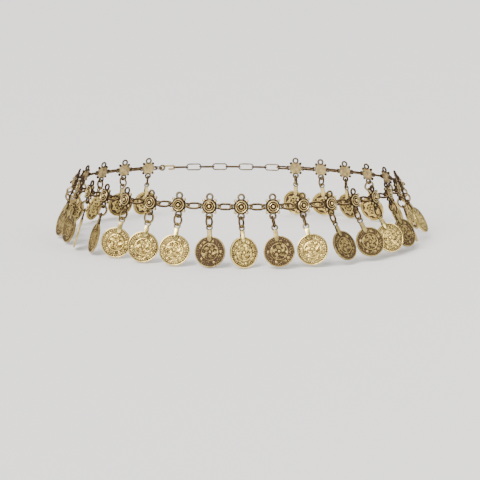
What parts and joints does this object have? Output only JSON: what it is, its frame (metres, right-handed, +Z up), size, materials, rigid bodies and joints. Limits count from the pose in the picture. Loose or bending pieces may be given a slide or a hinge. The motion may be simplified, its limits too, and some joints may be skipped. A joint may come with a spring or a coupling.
{
  "type": "coin belt",
  "caption": "Metal coin belt worn round a waist: cast rosette medallions joined by oval wire links, a coin swinging from each on a ring and bail, hook clasp and extension chain behind.",
  "frame": {"origin": "middle of the waist opening, half-way between its front and back, at the height of the medallions' middles", "axes": "+Z up, -Y to the wearer's front, +X to the wearer's left"},
  "size_m": [0.2726, 0.2077, 0.0474],
  "materials": {
    "cast_gold": "antique gold, cast, dark in the recesses",
    "coin_gold": "antique gold, struck, worn bright on the relief",
    "wire_gold": "antique gold wire, satin"
  },
  "bodies": {
    "chain": {"medallion_01": "cast_gold", "medallion_02": "cast_gold", "medallion_03": "cast_gold", "medallion_04": "cast_gold", "medallion_05": "cast_gold", "medallion_06": "cast_gold", "medallion_07": "cast_gold", "medallion_08": "cast_gold", "medallion_09": "cast_gold", "medallion_10": "cast_gold", "medallion_11": "cast_gold", "medallion_12": "cast_gold", "medallion_13": "cast_gold", "medallion_14": "cast_gold", "medallion_15": "cast_gold", "medallion_16": "cast_gold", "medallion_17": "cast_gold", "medallion_18": "cast_gold", "medallion_19": "cast_gold", "medallion_20": "cast_gold", "medallion_21": "cast_gold", "medallion_22": "cast_gold", "medallion_23": "cast_gold", "medallion_24": "cast_gold", "medallion_25": "cast_gold", "medallion_26": "cast_gold", "medallion_27": "cast_gold", "medallion_28": "cast_gold", "extension_chain": "wire_gold", "clasp_hook": "wire_gold", "clasp_ring": "wire_gold"},
    "pendant_01": {"pendant_01": "coin_gold"},
    "pendant_02": {"pendant_02": "coin_gold"},
    "pendant_03": {"pendant_03": "coin_gold"},
    "pendant_04": {"pendant_04": "coin_gold"},
    "pendant_05": {"pendant_05": "coin_gold"},
    "pendant_06": {"pendant_06": "coin_gold"},
    "pendant_07": {"pendant_07": "coin_gold"},
    "pendant_08": {"pendant_08": "coin_gold"},
    "pendant_09": {"pendant_09": "coin_gold"},
    "pendant_10": {"pendant_10": "coin_gold"},
    "pendant_11": {"pendant_11": "coin_gold"},
    "pendant_12": {"pendant_12": "coin_gold"},
    "pendant_13": {"pendant_13": "coin_gold"},
    "pendant_14": {"pendant_14": "coin_gold"},
    "pendant_15": {"pendant_15": "coin_gold"},
    "pendant_16": {"pendant_16": "coin_gold"},
    "pendant_17": {"pendant_17": "coin_gold"},
    "pendant_18": {"pendant_18": "coin_gold"},
    "pendant_19": {"pendant_19": "coin_gold"},
    "pendant_20": {"pendant_20": "coin_gold"},
    "pendant_21": {"pendant_21": "coin_gold"},
    "pendant_22": {"pendant_22": "coin_gold"},
    "pendant_23": {"pendant_23": "coin_gold"},
    "pendant_24": {"pendant_24": "coin_gold"},
    "pendant_25": {"pendant_25": "coin_gold"},
    "pendant_26": {"pendant_26": "coin_gold"},
    "pendant_27": {"pendant_27": "coin_gold"},
    "pendant_28": {"pendant_28": "coin_gold"}
  },
  "joints": [
    {"name": "pendant_01_swing", "type": "hinge", "parent": "chain", "child": "pendant_01", "pos_m": [-0.0714, 0.08111, -0.00787], "axis": [0.9057, 0.4224, -0.0349], "range_deg": [0, 65]},
    {"name": "pendant_02_swing", "type": "hinge", "parent": "chain", "child": "pendant_02", "pos_m": [-0.08963, 0.07098, -0.00781], "axis": [0.8174, 0.575, 0.0349], "range_deg": [0, 65]},
    {"name": "pendant_03_swing", "type": "hinge", "parent": "chain", "child": "pendant_03", "pos_m": [-0.10566, 0.05738, -0.00769], "axis": [0.6597, 0.7482, -0.0698], "range_deg": [0, 69]},
    {"name": "pendant_04_swing", "type": "hinge", "parent": "chain", "child": "pendant_04", "pos_m": [-0.11757, 0.0397, -0.00752], "axis": [0.3859, 0.9211, -0.0523], "range_deg": [0, 71]},
    {"name": "pendant_05_swing", "type": "hinge", "parent": "chain", "child": "pendant_05", "pos_m": [-0.12199, 0.01856, -0.00742], "axis": [-0.0083, 0.9902, -0.1392], "range_deg": [0, 74]},
    {"name": "pendant_06_swing", "type": "hinge", "parent": "chain", "child": "pendant_06", "pos_m": [-0.11976, -0.00245, -0.00745], "axis": [-0.1944, 0.9753, -0.1045], "range_deg": [0, 72]},
    {"name": "pendant_07_swing", "type": "hinge", "parent": "chain", "child": "pendant_07", "pos_m": [-0.11354, -0.02261, -0.00752], "axis": [-0.3727, 0.9239, -0.0872], "range_deg": [0, 74]},
    {"name": "pendant_08_swing", "type": "hinge", "parent": "chain", "child": "pendant_08", "pos_m": [-0.10366, -0.0412, -0.00761], "axis": [-0.5369, 0.8429, -0.0349], "range_deg": [0, 68]},
    {"name": "pendant_09_swing", "type": "hinge", "parent": "chain", "child": "pendant_09", "pos_m": [-0.09058, -0.05762, -0.00771], "axis": [-0.6769, 0.7309, 0.0872], "range_deg": [0, 69]},
    {"name": "pendant_10_swing", "type": "hinge", "parent": "chain", "child": "pendant_10", "pos_m": [-0.07485, -0.07141, -0.00779], "axis": [-0.7877, 0.5959, 0.1564], "range_deg": [0, 70]},
    {"name": "pendant_11_swing", "type": "hinge", "parent": "chain", "child": "pendant_11", "pos_m": [-0.05703, -0.08227, -0.00785], "axis": [-0.8869, 0.4567, 0.0698], "range_deg": [0, 65]},
    {"name": "pendant_12_swing", "type": "hinge", "parent": "chain", "child": "pendant_12", "pos_m": [-0.0377, -0.08998, -0.00789], "axis": [-0.9533, 0.3016, 0.0175], "range_deg": [0, 62]},
    {"name": "pendant_13_swing", "type": "hinge", "parent": "chain", "child": "pendant_13", "pos_m": [-0.0174, -0.09444, -0.00792], "axis": [-0.9879, 0.1386, -0.0698], "range_deg": [0, 65]},
    {"name": "pendant_14_swing", "type": "hinge", "parent": "chain", "child": "pendant_14", "pos_m": [0.00333, -0.09557, -0.00792], "axis": [-0.9958, -0.0265, -0.0872], "range_deg": [0, 66]},
    {"name": "pendant_15_swing", "type": "hinge", "parent": "chain", "child": "pendant_15", "pos_m": [0.02398, -0.09337, -0.00791], "axis": [-0.9719, -0.1897, -0.1392], "range_deg": [0, 59]},
    {"name": "pendant_16_swing", "type": "hinge", "parent": "chain", "child": "pendant_16", "pos_m": [0.04403, -0.08786, -0.00788], "axis": [-0.9216, -0.3472, -0.1736], "range_deg": [0, 59]},
    {"name": "pendant_17_swing", "type": "hinge", "parent": "chain", "child": "pendant_17", "pos_m": [0.06293, -0.07912, -0.00784], "axis": [-0.837, -0.4908, -0.2419], "range_deg": [0, 57]},
    {"name": "pendant_18_swing", "type": "hinge", "parent": "chain", "child": "pendant_18", "pos_m": [0.08014, -0.0673, -0.00777], "axis": [-0.7485, -0.6351, -0.1908], "range_deg": [0, 56]},
    {"name": "pendant_19_swing", "type": "hinge", "parent": "chain", "child": "pendant_19", "pos_m": [0.09509, -0.05263, -0.00768], "axis": [-0.6303, -0.7638, -0.1392], "range_deg": [0, 58]},
    {"name": "pendant_20_swing", "type": "hinge", "parent": "chain", "child": "pendant_20", "pos_m": [0.1072, -0.03546, -0.00758], "axis": [-0.4851, -0.8701, -0.0872], "range_deg": [0, 61]},
    {"name": "pendant_21_swing", "type": "hinge", "parent": "chain", "child": "pendant_21", "pos_m": [0.11595, -0.01629, -0.00749], "axis": [-0.3182, -0.9479, -0.0175], "range_deg": [0, 67]},
    {"name": "pendant_22_swing", "type": "hinge", "parent": "chain", "child": "pendant_22", "pos_m": [0.12092, 0.00422, -0.00743], "axis": [-0.1353, -0.9853, -0.1045], "range_deg": [0, 58]},
    {"name": "pendant_23_swing", "type": "hinge", "parent": "chain", "child": "pendant_23", "pos_m": [0.12161, 0.02552, -0.00743], "axis": [0.1193, -0.9922, -0.0349], "range_deg": [0, 68]},
    {"name": "pendant_24_swing", "type": "hinge", "parent": "chain", "child": "pendant_24", "pos_m": [0.11438, 0.04583, -0.00758], "axis": [0.4898, -0.8703, 0.0523], "range_deg": [0, 69]},
    {"name": "pendant_25_swing", "type": "hinge", "parent": "chain", "child": "pendant_25", "pos_m": [0.10085, 0.06216, -0.00774], "axis": [0.72, -0.6905, -0.0698], "range_deg": [0, 67]},
    {"name": "pendant_26_swing", "type": "hinge", "parent": "chain", "child": "pendant_26", "pos_m": [0.08397, 0.07458, -0.00783], "axis": [0.8517, -0.5238, -0.0175], "range_deg": [0, 65]},
    {"name": "pendant_27_swing", "type": "hinge", "parent": "chain", "child": "pendant_27", "pos_m": [0.06526, 0.08372, -0.00788], "axis": [0.9251, -0.378, 0.0349], "range_deg": [0, 61]},
    {"name": "pendant_28_swing", "type": "hinge", "parent": "chain", "child": "pendant_28", "pos_m": [0.04549, 0.09008, -0.0079], "axis": [0.9668, -0.2501, -0.0523], "range_deg": [0, 63]}
  ]
}
